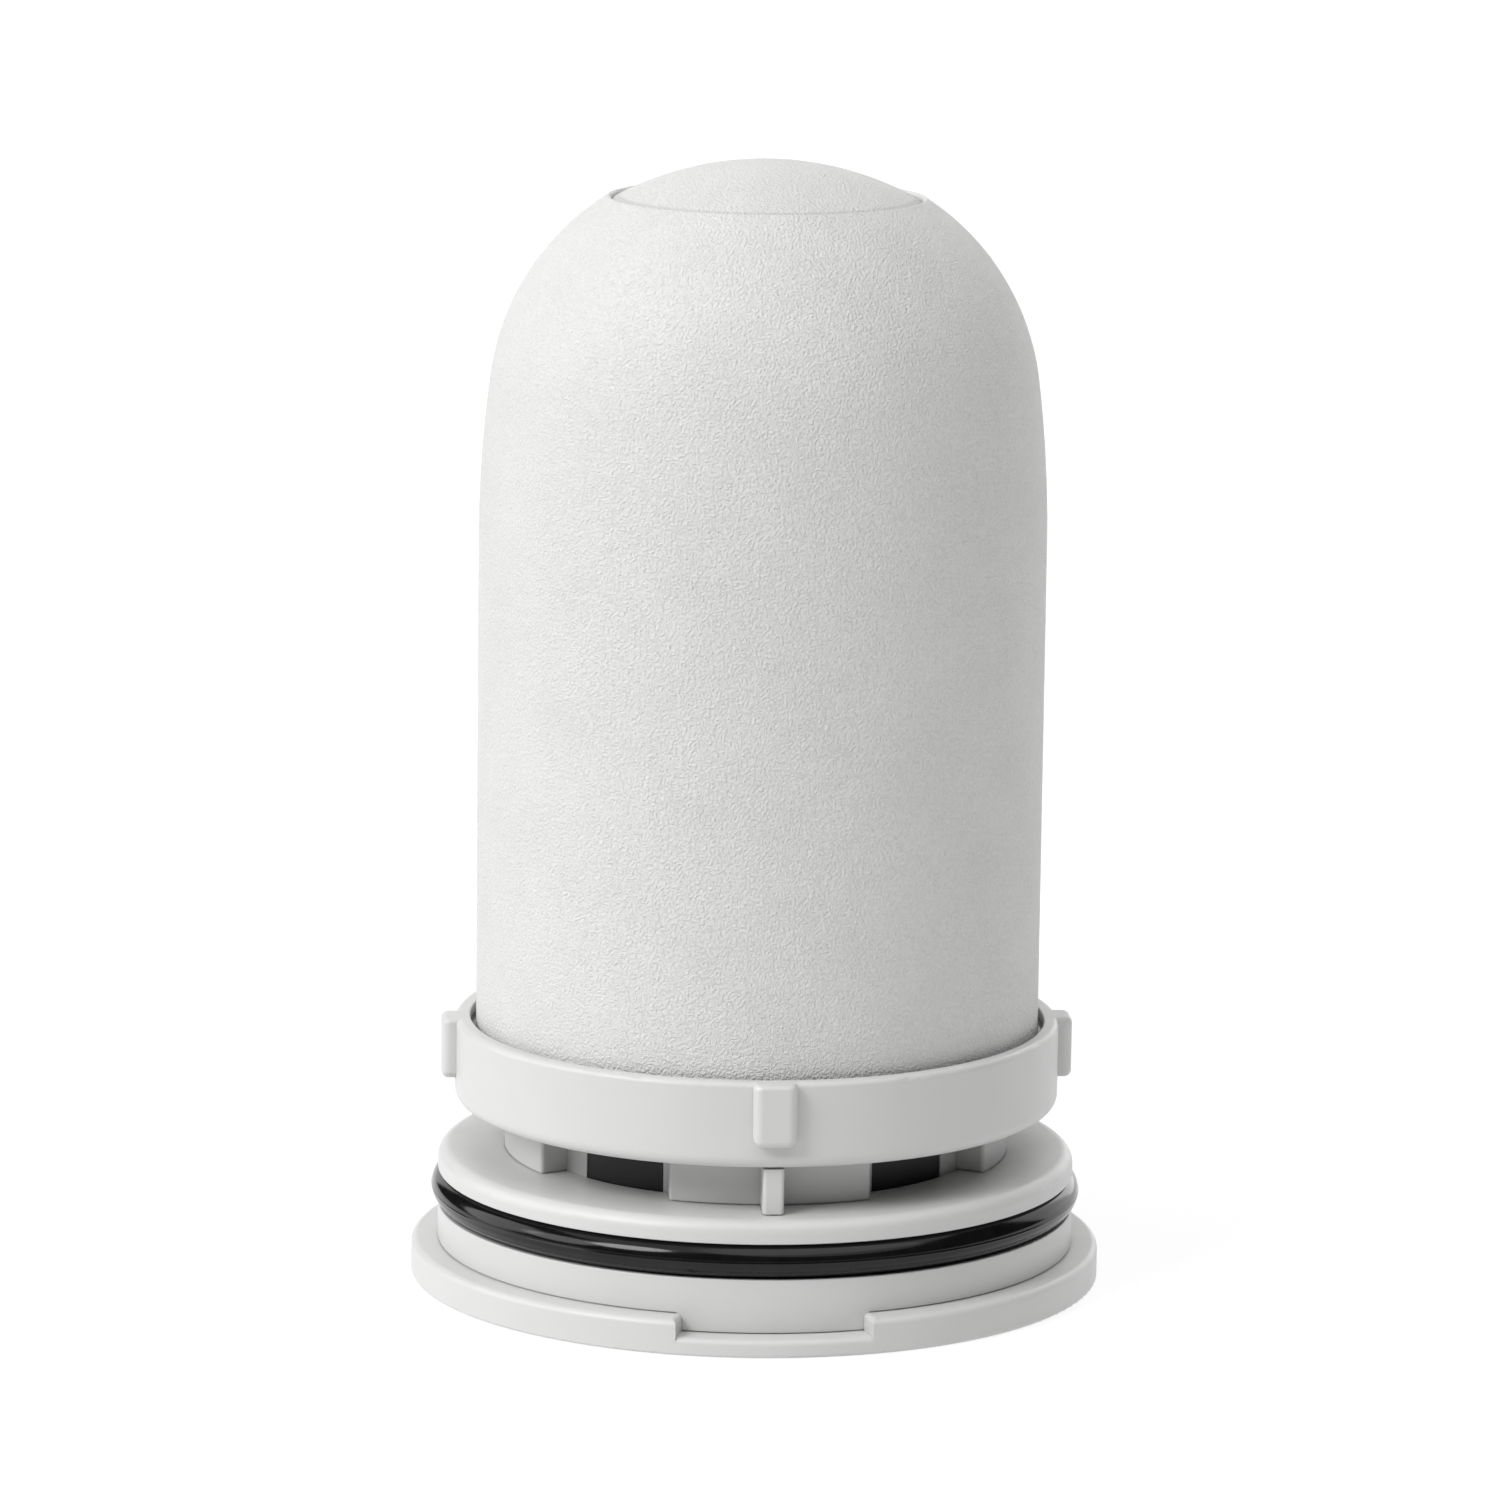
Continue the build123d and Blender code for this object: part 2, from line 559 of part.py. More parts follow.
def canister_top():
    """Blind upper end cap with a skirt round the net."""
    seat_z = BLOCK_TOP_Z + END_SEAL_H
    skirt_in_r = NET_R + PLAY
    return turned([
        (0, seat_z), (skirt_in_r, seat_z), (skirt_in_r, seat_z - TOP_CAP_SKIRT_H),
        (TOP_CAP_R, seat_z - TOP_CAP_SKIRT_H), (TOP_CAP_R, seat_z + TOP_CAP_H, TOP_CAP_ROUNDING),
        (0, seat_z + TOP_CAP_H)])


def top_bumper():
    """Soft stepped pad that keeps the canister seated under the dome's cap."""
    low_z = BLOCK_TOP_Z + END_SEAL_H + TOP_CAP_H
    high_z = CAP_PLUG_LOW_Z - BUMPER_CLEARANCE
    web_z = high_z - BUMPER_LIP_H
    return turned([
        (0, low_z), (BUMPER_R, low_z), (BUMPER_R, low_z + BUMPER_FOOT_H, BUMPER_ROUNDING),
        (BUMPER_LIP_OUT_R, web_z), (BUMPER_LIP_OUT_R, high_z, BUMPER_LIP_ROUNDING),
        (BUMPER_LIP_IN_R, high_z, BUMPER_LIP_ROUNDING), (BUMPER_LIP_IN_R - 1, web_z, BUMPER_ROUNDING),
        (0, web_z)])


def outlet_screen():
    """Fine perforated disc over the outlet passage."""
    low_z = WEB_TOP_Z
    screen = disc(SPIGOT_R, low_z, low_z + SCREEN_H)
    reach = int(PASSAGE_R // SCREEN_PITCH)
    for column in range(-reach, reach + 1):
        for row in range(-reach, reach + 1):
            x, y = column * SCREEN_PITCH, row * SCREEN_PITCH
            if hypot(x, y) + SCREEN_HOLE_R < PASSAGE_R:
                screen -= Pos(x, y, low_z + SCREEN_H / 2) * Cylinder(SCREEN_HOLE_R, 2 * SCREEN_H)
    return screen


# ---------------------------------------------------------------- assembly

block_low_z = CUP_SEAT_Z + END_SEAL_H
screen_top_z = WEB_TOP_Z + SCREEN_H
face_ring_r = (FACE_GROOVE_IN_R + FACE_GROOVE_OUT_R) / 2
face_ring_z = HEAD_TOP_Z - FACE_GROOVE_DEPTH + FACE_RING_SECTION_R
plug_ring_r = GROOVE_R + PLUG_RING_SECTION_R + RING_PLAY
spigot_ring_r = SPIGOT_GROOVE_R + SPIGOT_RING_SECTION_R + RING_PLAY
cup_ring_r = HEAD_BORE_R - CUP_RING_SECTION_R - CUP_RING_PLAY

nodes = {
    "base_plug": base_plug(),
    "plug_o_ring": o_ring(plug_ring_r, (GROOVE_LOW_Z + GROOVE_HIGH_Z) / 2, PLUG_RING_SECTION_R),
    "neck_cage": neck_cage(),
    "face_seal_ring": o_ring(face_ring_r, face_ring_z, FACE_RING_SECTION_R),
    "outlet_washer": tube(PASSAGE_R + WASHER_PLAY, WASHER_SEAT_R - WASHER_PLAY, SOCKET_DEPTH, WASHER_TOP_Z),
    "outlet_screen": outlet_screen(),
    "screen_retainer": tube(RETAINER_IN_R, SPIGOT_BORE_R - PLAY, screen_top_z, screen_top_z + RETAINER_H),
    "canister_cup": canister_cup(),
    "canister_o_ring": o_ring(cup_ring_r, (CUP_GROOVE_LOW_Z + CUP_GROOVE_HIGH_Z) / 2, CUP_RING_SECTION_R),
    "spigot_o_rings": Compound([o_ring(spigot_ring_r, ring_z, SPIGOT_RING_SECTION_R)
                                for ring_z in SPIGOT_RING_ZS]),
    "block_end_seals": Compound([tube(CORE_R, BLOCK_R, CUP_SEAT_Z, block_low_z),
                                 tube(CORE_R, BLOCK_R, BLOCK_TOP_Z, BLOCK_TOP_Z + END_SEAL_H)]),
    "carbon_block": tube(BLOCK_IN_R, BLOCK_R, block_low_z, BLOCK_TOP_Z),
    "carbon_wrap": tube(BLOCK_R + PLAY, WRAP_R, block_low_z, BLOCK_TOP_Z),
    "canister_net": canister_net(),
    "core_tube": core_tube(),
    "canister_top": canister_top(),
    "top_bumper": top_bumper(),
    "locking_collar": locking_collar(),
    "foot_bond": tube(DOME_R - DOME_WALL + BOND_INSET, DOME_R - BOND_INSET, LEDGE_TOP_Z,
                      LEDGE_TOP_Z + BOND_H),
    "foot_gasket": tube(DOME_R + GASKET_CLEARANCE, COLLAR_IN_R - GASKET_CLEARANCE, LEDGE_TOP_Z,
                        LEDGE_TOP_Z + GASKET_H),
    "dome_shell": dome_shell(),
    "cap_bond": tube(CAP_OPENING_R + BOND_INSET, CAP_R - BOND_INSET, CAP_SEAT_Z, CAP_SEAT_Z + BOND_H),
    "dome_cap": dome_cap(),
}

for name, shape in nodes.items():
    export_step(shape, f"parts/{name}.step")
    print(name, round(shape.volume, 1))
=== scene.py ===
"""Looks of the pump water filter cartridge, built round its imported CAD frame. Metres, +Z up, front -Y."""

import json
from math import atan2, ceil, cos, degrees, hypot, pi, radians, sin, sqrt

import bpy
from mathutils import Matrix, Vector, noise


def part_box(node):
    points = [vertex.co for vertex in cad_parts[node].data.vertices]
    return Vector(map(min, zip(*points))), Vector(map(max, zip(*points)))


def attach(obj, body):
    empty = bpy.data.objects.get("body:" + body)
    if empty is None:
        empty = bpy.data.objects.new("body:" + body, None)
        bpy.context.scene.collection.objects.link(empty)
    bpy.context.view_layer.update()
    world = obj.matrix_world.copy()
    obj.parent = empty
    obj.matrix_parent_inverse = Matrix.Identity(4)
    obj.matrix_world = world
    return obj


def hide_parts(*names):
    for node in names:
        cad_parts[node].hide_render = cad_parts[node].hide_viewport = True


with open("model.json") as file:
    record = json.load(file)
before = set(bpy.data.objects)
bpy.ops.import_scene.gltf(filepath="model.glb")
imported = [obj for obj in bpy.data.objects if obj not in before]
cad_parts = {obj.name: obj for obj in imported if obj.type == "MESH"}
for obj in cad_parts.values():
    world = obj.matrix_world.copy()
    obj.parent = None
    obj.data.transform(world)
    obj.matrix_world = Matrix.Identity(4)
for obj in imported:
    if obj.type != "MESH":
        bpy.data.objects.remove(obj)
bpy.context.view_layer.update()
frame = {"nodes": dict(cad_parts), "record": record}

MM = 0.001
TOUCHING = 0.001 * MM

# ---------------------------------------------------------------- view and light

CAMERA_AZIMUTH = -3.5
CAMERA_ELEVATION = 10.73
CAMERA_DISTANCE = 635.3 * MM
CAMERA_LENS_MM = 176.3
CAMERA_ROLL = 0.7
AIM_HEIGHT = 46.13 * MM
AIM_SIDEWAYS = -0.89 * MM
NEAR_CLIP = 0.01
FAR_CLIP = 50

# The studio: a strong key from the left, and softer lamps that are set as shares of it. Each lamp has
# its azimuth, its elevation, how wide it looks and its share.
KEY_STRENGTH = 1.7
LAMPS = {
    "key": (-55, 40, 25, 1.0),
    "key_side": (-80, 25, 30, 0.4),
    "left_rim": (-110, 20, 40, 0.45),
    "top": (0, 85, 80, 0.7),
    "front_fill": (30, 60, 60, 0.45),
    "right_rim": (140, 15, 50, 0.45),
    "backdrop": (175, 15, 60, 0.45),
}
# The lamps and the glowing floor give all the light
WORLD_STRENGTH = 0.0
FLOOR_GLOW = 0.8
FLOOR_RADIUS = 8.0
FLOOR_DROP = 0.05 * MM


def outward(azimuth, elevation):
    """Unit vector from the object towards a viewer or light."""
    a, e = radians(azimuth), radians(elevation)
    return Vector((sin(a) * cos(e), -cos(a) * cos(e), sin(e)))


def add_camera():
    data = bpy.data.cameras.new("camera")
    data.lens = CAMERA_LENS_MM
    data.clip_start = NEAR_CLIP
    data.clip_end = FAR_CLIP
    camera = bpy.data.objects.new("camera", data)
    bpy.context.scene.collection.objects.link(camera)
    azimuth = radians(CAMERA_AZIMUTH)
    right = Vector((cos(azimuth), sin(azimuth), 0))
    aim = right * AIM_SIDEWAYS + Vector((0, 0, AIM_HEIGHT))
    back = outward(CAMERA_AZIMUTH, CAMERA_ELEVATION)
    turn = (-back).to_track_quat("-Z", "Y").to_matrix() @ Matrix.Rotation(radians(CAMERA_ROLL), 3, "Z")
    camera.matrix_world = Matrix.Translation(aim + back * CAMERA_DISTANCE) @ turn.to_4x4()
    bpy.context.scene.camera = camera


def add_lights():
    for name, (azimuth, elevation, width, share) in LAMPS.items():
        data = bpy.data.lights.new(name, "SUN")
        data.energy = KEY_STRENGTH * share
        data.angle = radians(width)
        lamp = bpy.data.objects.new(name, data)
        lamp.rotation_mode = "QUATERNION"
        lamp.rotation_quaternion = (-outward(azimuth, elevation)).to_track_quat("-Z", "Y")
        bpy.context.scene.collection.objects.link(lamp)
    world = bpy.data.worlds.new("studio")
    world.use_nodes = True
    background = world.node_tree.nodes["Background"]
    background.inputs["Color"].default_value = (1, 1, 1, 1)
    background.inputs["Strength"].default_value = WORLD_STRENGTH
    bpy.context.scene.world = world
    bpy.context.scene.view_settings.view_transform = "Standard"


def add_floor():
    mesh = bpy.data.meshes.new("floor")
    r = FLOOR_RADIUS
    mesh.from_pydata([(-r, -r, -FLOOR_DROP), (r, -r, -FLOOR_DROP), (r, r, -FLOOR_DROP), (-r, r, -FLOOR_DROP)],
                     [], [(0, 1, 2, 3)])
    floor = bpy.data.objects.new("floor", mesh)
    bpy.context.scene.collection.objects.link(floor)
    mesh.materials.append(floor_material())


# ---------------------------------------------------------------- material helpers

def principled(name, color, roughness, **settings):
    """A material with one Principled shader; settings are more of its inputs, underscores for spaces."""
    material = bpy.data.materials.new(name)
    material.use_nodes = True
    shader = material.node_tree.nodes["Principled BSDF"]
    shader.inputs["Base Color"].default_value = (*color, 1)
    shader.inputs["Roughness"].default_value = roughness
    for key, value in settings.items():
        shader.inputs[key.replace("_", " ")].default_value = value
    return material, material.node_tree, shader


def place_of(tree, stretch=(1, 1, 1)):
    """Object coordinates, squeezed along each axis by a factor."""
    place = tree.nodes.new("ShaderNodeTexCoord")
    mapping = tree.nodes.new("ShaderNodeMapping")
    mapping.inputs["Scale"].default_value = stretch
    tree.links.new(place.outputs["Object"], mapping.inputs["Vector"])
    return mapping.outputs["Vector"]


def noise_of(tree, size, detail=2.0, distortion=0.0, stretch=(1, 1, 1)):
    """Noise with features of about the given size in metres."""
    texture = tree.nodes.new("ShaderNodeTexNoise")
    texture.inputs["Scale"].default_value = 1 / size
    texture.inputs["Detail"].default_value = detail
    texture.inputs["Distortion"].default_value = distortion
    tree.links.new(place_of(tree, stretch), texture.inputs["Vector"])
    return texture.outputs["Fac"]


def cells_of(tree, size, feature="F1"):
    """Distance pattern of random cells of about the given size in metres."""
    texture = tree.nodes.new("ShaderNodeTexVoronoi")
    texture.feature = feature
    texture.inputs["Scale"].default_value = 1 / size
    tree.links.new(place_of(tree), texture.inputs["Vector"])
    return texture.outputs["Distance"]


def ranged(tree, value, low, high, from_low=0.3, from_high=0.7):
    """Value spread over a new range."""
    node = tree.nodes.new("ShaderNodeMapRange")
    node.inputs["From Min"].default_value = from_low
    node.inputs["From Max"].default_value = from_high
    node.inputs["To Min"].default_value = low
    node.inputs["To Max"].default_value = high
    tree.links.new(value, node.inputs["Value"])
    return node.outputs["Result"]


def added(tree, first, second, share):
    """First value plus a share of the second."""
    node = tree.nodes.new("ShaderNodeMath")
    node.operation = "MULTIPLY_ADD"
    node.inputs[1].default_value = share
    tree.links.new(second, node.inputs[0])
    tree.links.new(first, node.inputs[2])
    return node.outputs[0]


def tint(tree, shader, value, low_color, high_color, from_low=0.3, from_high=0.7):
    """Base colour that runs between two colours with a value."""
    node = tree.nodes.new("ShaderNodeMix")
    node.data_type = "RGBA"
    node.inputs["A"].default_value = (*low_color, 1)
    node.inputs["B"].default_value = (*high_color, 1)
    tree.links.new(ranged(tree, value, 0, 1, from_low, from_high), node.inputs["Factor"])
    tree.links.new(node.outputs["Result"], shader.inputs["Base Color"])


def darken(tree, shader, mask, share):
    """Takes a share of the base colour away where the mask is 1."""
    node = tree.nodes.new("ShaderNodeMix")
    node.data_type = "RGBA"
    node.blend_type = "MULTIPLY"
    node.inputs["B"].default_value = (1 - share, 1 - share, 1 - share, 1)
    tree.links.new(shader.inputs["Base Color"].links[0].from_socket, node.inputs["A"])
    tree.links.new(mask, node.inputs["Factor"])
    tree.links.new(node.outputs["Result"], shader.inputs["Base Color"])


OCCLUSION_SAMPLES = 4


def corner_shade_mask(tree, reach):
    """Painted shade: 1 deep in narrow corners and gaps, which ambient occlusion finds shaded, and 0 in the
    open.
    """
    node = tree.nodes.new("ShaderNodeAmbientOcclusion")
    node.inputs["Distance"].default_value = reach
    node.samples = OCCLUSION_SAMPLES
    return ranged(tree, node.outputs["AO"], 1, 0, 0.1, 0.7)


def seam_shade_mask(tree):
    """1 in a ring on the cap along its joint with the dome's shell, where a painted shade line goes, and 0
    away from it.
    """
    apart = tree.nodes.new("ShaderNodeSeparateXYZ")
    tree.links.new(place_of(tree), apart.inputs["Vector"])
    flat = tree.nodes.new("ShaderNodeCombineXYZ")
    tree.links.new(apart.outputs["X"], flat.inputs["X"])
    tree.links.new(apart.outputs["Y"], flat.inputs["Y"])
    radius = tree.nodes.new("ShaderNodeVectorMath")
    radius.operation = "LENGTH"
    tree.links.new(flat.outputs["Vector"], radius.inputs[0])
    off_line = tree.nodes.new("ShaderNodeMath")
    off_line.operation = "SUBTRACT"
    off_line.inputs[1].default_value = SEAM_R
    tree.links.new(radius.outputs["Value"], off_line.inputs[0])
    distance = tree.nodes.new("ShaderNodeMath")
    distance.operation = "ABSOLUTE"
    tree.links.new(off_line.outputs[0], distance.inputs[0])
    return ranged(tree, distance.outputs[0], 1, 0, SEAM_HALF_WIDTH / 2, SEAM_HALF_WIDTH)


def bump(tree, shader, height, depth):
    """Relief of a height pattern, depth metres from its lowest to its highest."""
    node = tree.nodes.new("ShaderNodeBump")
    node.inputs["Distance"].default_value = depth
    tree.links.new(height, node.inputs["Height"])
    tree.links.new(node.outputs["Normal"], shader.inputs["Normal"])


def vary_roughness(tree, shader, value, low, high):
    tree.links.new(ranged(tree, value, low, high), shader.inputs["Roughness"])


# ---------------------------------------------------------------- materials

# Painted shade line along the joint between the dome's shell and its cap
SEAM_R = 12.85 * MM
SEAM_HALF_WIDTH = 0.4 * MM
SEAM_SHADE_DARKENING = 0.14

# Wrinkles of the ceramic's skin
WRINKLE_SIZE = 0.22 * MM
WRINKLE_DEPTH = 0.19 * MM

# Painted shade in the white plastic's corners
CORNER_REACH = 0.3 * MM
CORNER_SHADE_DARKENING = 0.35


def floor_material():
    """White table that glows by itself, as a light table does, so that the shadow on it stays faint."""
    return principled("floor_white", (0.2, 0.2, 0.2), 0.9, Emission_Color=(1, 1, 1, 1),
                      Emission_Strength=FLOOR_GLOW)[0]


def ceramic():
    """Unglazed white ceramic with a fine wrinkled skin."""
    material, tree, shader = principled("dome_ceramic", (0.65, 0.65, 0.645), 0.6, Specular_IOR_Level=0.2)
    wrinkles = noise_of(tree, WRINKLE_SIZE, detail=1.0, distortion=0.4)
    patches = noise_of(tree, 6 * MM)
    tint(tree, shader, added(tree, wrinkles, patches, 0.4), (0.615, 0.615, 0.61), (0.675, 0.675, 0.667),
         from_low=0.5, from_high=0.9)
    # Painted shade: a darker ring on the cap near its edge stands in for the shade where the cap meets the
    # shell's rim
    darken(tree, shader, seam_shade_mask(tree), SEAM_SHADE_DARKENING)
    vary_roughness(tree, shader, wrinkles, 0.72, 0.55)
    bump(tree, shader, wrinkles, WRINKLE_DEPTH)
    return material


def white_plastic():
    """Satin moulded plastic with a very fine eroded mould texture."""
    material, tree, shader = principled("white_plastic", (0.58, 0.58, 0.575), 0.38, Specular_IOR_Level=0.5)
    tint(tree, shader, noise_of(tree, 9 * MM), (0.573, 0.573, 0.568), (0.587, 0.587, 0.582))
    # Painted shade: darker base colour in narrow corners and gaps, found by ambient occlusion, stands in for
    # the shade there
    darken(tree, shader, corner_shade_mask(tree, CORNER_REACH), CORNER_SHADE_DARKENING)
    vary_roughness(tree, shader, noise_of(tree, 3 * MM, detail=4), 0.35, 0.43)
    bump(tree, shader, noise_of(tree, 0.09 * MM), 0.0025 * MM)
    return material


def black_rubber():
    """Moulded rubber with a soft gloss."""
    material, tree, shader = principled("black_rubber", (0.006, 0.006, 0.006), 0.12, Specular_IOR_Level=0.3)
    tint(tree, shader, noise_of(tree, 2 * MM), (0.004, 0.004, 0.004), (0.008, 0.008, 0.009))
    vary_roughness(tree, shader, noise_of(tree, 1.2 * MM, detail=4), 0.1, 0.15)
    bump(tree, shader, noise_of(tree, 0.2 * MM), 0.003 * MM)
    return material


def black_plastic():
    """Semi-gloss moulded black plastic."""
    material, tree, shader = principled("black_plastic", (0.01, 0.01, 0.011), 0.3, Specular_IOR_Level=0.3)
    tint(tree, shader, noise_of(tree, 4 * MM), (0.008, 0.008, 0.009), (0.013, 0.013, 0.014))
    vary_roughness(tree, shader, noise_of(tree, 2 * MM, detail=4), 0.28, 0.38)
    bump(tree, shader, noise_of(tree, 0.1 * MM), 0.003 * MM)
    return material


def carbon():
    """Sintered carbon grains with pores between them."""
    material, tree, shader = principled("carbon", (0.02, 0.02, 0.021), 0.85)
    grains = cells_of(tree, 0.5 * MM)
    tint(tree, shader, noise_of(tree, 0.5 * MM), (0.012, 0.012, 0.012), (0.045, 0.045, 0.047))
    vary_roughness(tree, shader, noise_of(tree, 0.3 * MM), 0.55, 0.95)
    bump(tree, shader, added(tree, noise_of(tree, 0.15 * MM), grains, -1.0), 0.15 * MM)
    return material


def nonwoven():
    """Fleece of fine fibres, laid mostly along and round the tube."""
    material, tree, shader = principled("nonwoven", (0.78, 0.78, 0.77), 0.85, Sheen_Weight=0.3)
    upright = noise_of(tree, 0.1 * MM, stretch=(1, 1, 0.08))
    across = noise_of(tree, 0.1 * MM, stretch=(0.15, 0.15, 1))
    tint(tree, shader, upright, (0.7, 0.7, 0.69), (0.82, 0.82, 0.81))
    bump(tree, shader, added(tree, upright, across, 0.8), 0.08 * MM)
    return material


def natural_plastic():
    """Uncoloured polypropylene, slightly see-through."""
    material, tree, shader = principled("natural_plastic", (0.76, 0.77, 0.76), 0.35, Subsurface_Weight=0.2,
                                        Subsurface_Scale=0.6 * MM)
    tint(tree, shader, noise_of(tree, 3 * MM), (0.72, 0.735, 0.73), (0.78, 0.785, 0.775))
    vary_roughness(tree, shader, noise_of(tree, 1 * MM), 0.3, 0.45)
    bump(tree, shader, noise_of(tree, 0.2 * MM), 0.004 * MM)
    return material


def steel_mesh():
    """Rolled stainless foil with lengthwise brushing."""
    material, tree, shader = principled("steel_mesh", (0.6, 0.6, 0.6), 0.3, Metallic=1.0)
    brushing = noise_of(tree, 0.05 * MM, stretch=(0.05, 1, 1))
    tint(tree, shader, brushing, (0.52, 0.52, 0.525), (0.64, 0.64, 0.635))
    vary_roughness(tree, shader, brushing, 0.22, 0.42)
    bump(tree, shader, brushing, 0.002 * MM)
    return material


def bond():
    """Cured potting resin with tiny bubbles."""
    material, tree, shader = principled("bond", (0.7, 0.68, 0.6), 0.35)
    bubbles = cells_of(tree, 0.6 * MM)
    tint(tree, shader, noise_of(tree, 1.5 * MM), (0.66, 0.64, 0.56), (0.74, 0.72, 0.65))
    vary_roughness(tree, shader, bubbles, 0.3, 0.5)
    bump(tree, shader, bubbles, 0.05 * MM)
    return material


def silicone():
    """Soft milky silicone."""
    material, tree, shader = principled("silicone", (0.74, 0.74, 0.73), 0.5, Subsurface_Weight=0.3,
                                        Subsurface_Scale=0.8 * MM)
    tint(tree, shader, noise_of(tree, 3 * MM), (0.71, 0.71, 0.7), (0.76, 0.76, 0.75))
    vary_roughness(tree, shader, noise_of(tree, 0.8 * MM), 0.45, 0.6)
    bump(tree, shader, noise_of(tree, 0.25 * MM), 0.006 * MM)
    return material


MATERIALS = {
    "white_plastic": white_plastic(),
    "black_rubber": black_rubber(),
    "dome_ceramic": ceramic(),
    "black_plastic": black_plastic(),
    "carbon": carbon(),
    "nonwoven": nonwoven(),
    "natural_plastic": natural_plastic(),
    "steel_mesh": steel_mesh(),
    "bond": bond(),
    "silicone": silicone(),
}


def dress_nodes():
    """Gives every CAD node the material of its slot."""
    for part in frame["record"]["subparts"]:
        node = frame["nodes"][part["node"]]
        node.data.materials.clear()
        node.data.materials.append(MATERIALS[part["material_slot"]])


# ---------------------------------------------------------------- mesh helpers

SHARP_ANGLE = 50


def run(start, end, step):
    """Points of a straight profile run, no further apart than step."""
    count = max(1, ceil(hypot(end[0] - start[0], end[1] - start[1]) / step))
    return [(start[0] + (end[0] - start[0]) * index / count, start[1] + (end[1] - start[1]) * index / count)
            for index in range(count + 1)]


def bow(centre, radius, start, end, step):
    """Points of a profile arc between two angles in degrees above the horizontal."""
    count = max(2, ceil(abs(radians(end - start)) * radius / step))
    angles = [radians(start + (end - start) * index / count) for index in range(count + 1)]
    return [(centre[0] + radius * cos(angle), centre[1] + radius * sin(angle)) for angle in angles]


def joined(*stretches):
    """One profile from stretches that meet end to end."""
    points = []
    for stretch in stretches:
        for point in stretch:
            if not points or hypot(point[0] - points[-1][0], point[1] - points[-1][1]) > TOUCHING:
                points.append(point)
    return points


def lathe(name, profile, segments, closed):
    """Solid turned about Z from a profile that runs outwards below and upwards outside."""
    vertices, rows, faces = [], [], []
    for radius, height in profile:
        spokes = 1 if radius < TOUCHING else segments
        rows.append([len(vertices) + index for index in range(spokes)])
        for index in range(spokes):
            turn = 2 * pi * index / segments
            vertices.append((radius * sin(turn), -radius * cos(turn), height))
    for low, high in zip(rows, rows[1:] + (rows[:1] if closed else [])):
        for index in range(segments):
            after = (index + 1) % segments
            corners = [low[index % len(low)], low[after % len(low)],
                       high[after % len(high)], high[index % len(high)]]
            faces.append(list(dict.fromkeys(corners)))
    mesh = bpy.data.meshes.new(name)
    mesh.from_pydata(vertices, [], faces)
    mesh.validate()
    mesh.shade_smooth()
    piece = bpy.data.objects.new(name, mesh)
    bpy.context.scene.collection.objects.link(piece)
    return piece


def sharpen(piece):
    """Keeps the piece's sharp corners crisp in the smooth shading."""
    piece.data.set_sharp_from_angle(angle=radians(SHARP_ANGLE))


def press_in(piece, depth, size, on_skin):
    """Presses the vertices that on_skin accepts in along their normals, by a smooth random depth."""
    moved = []
    for vertex in piece.data.vertices:
        if on_skin(vertex.co, vertex.normal):
            swell = noise.noise(vertex.co / size) + 0.5 * noise.noise(vertex.co / (size / 2))
            moved.append((vertex, vertex.co - vertex.normal * depth * (0.5 + swell / 3)))
    for vertex, place in moved:
        vertex.co = place


def stand_for(piece, node, body, slot):
    """Puts a piece in a CAD node's place."""
    piece.data.materials.append(MATERIALS[slot])
    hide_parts(node)
    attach(piece, body)


# ---------------------------------------------------------------- dome

# The dome's section: straight wall, a long easing arc, then the shoulder arc up to the cap's seat
DOME_STRAIGHT_TOP = 64.43 * MM
EASING_R = 109.8 * MM
EASING_ANGLE = 7.51
SHOULDER_R = 21.44 * MM
DOME_WALL = 4.5 * MM
SEAT_R = 13.3 * MM
SEAT_HEIGHT = 92.0 * MM
OPENING_R = 10.5 * MM
RIM_ROUNDING = 0.3 * MM
RIM_START_ANGLE = 75
FOOT_ROUNDING = 0.3 * MM

# Cap
CAP_R = 13.2 * MM
CAP_SPHERE_R = 27.2 * MM
CAP_EDGE_ROUNDING = 0.3 * MM
CAP_PLUG_R = 10.2 * MM
CAP_HOLLOW_R = 7.5 * MM
CAP_HOLLOW_TOP = 94.2 * MM
CAP_SEAT_GAP = 0.2 * MM

# Skin relief that the meshes carry; the finer wrinkles are in the material
SKIN_STEP = 0.37 * MM
INNER_STEP = 4.0 * MM
ROUNDING_STEP = 0.1 * MM
SKIN_RELIEF_DEPTH = 0.03 * MM
SKIN_RELIEF_SIZE = 1.5 * MM
DOME_SEGMENTS = 400
CAP_SEGMENTS = 224


def dome_skin(outer_r, inset, stop_r, step):
    """Side of the dome from the top of its straight wall, inset from the outer skin, up to radius stop_r."""
    easing_centre = (outer_r - EASING_R, DOME_STRAIGHT_TOP)
    reach = EASING_R - SHOULDER_R
    centre = (easing_centre[0] + reach * cos(radians(EASING_ANGLE)),
              easing_centre[1] + reach * sin(radians(EASING_ANGLE)))
    radius = SHOULDER_R - inset
    across = stop_r - centre[0]
    stop_angle = degrees(atan2(sqrt(radius ** 2 - across ** 2), across))
    return joined(bow(easing_centre, EASING_R - inset, 0, EASING_ANGLE, step),
                  bow(centre, radius, EASING_ANGLE, stop_angle, step))


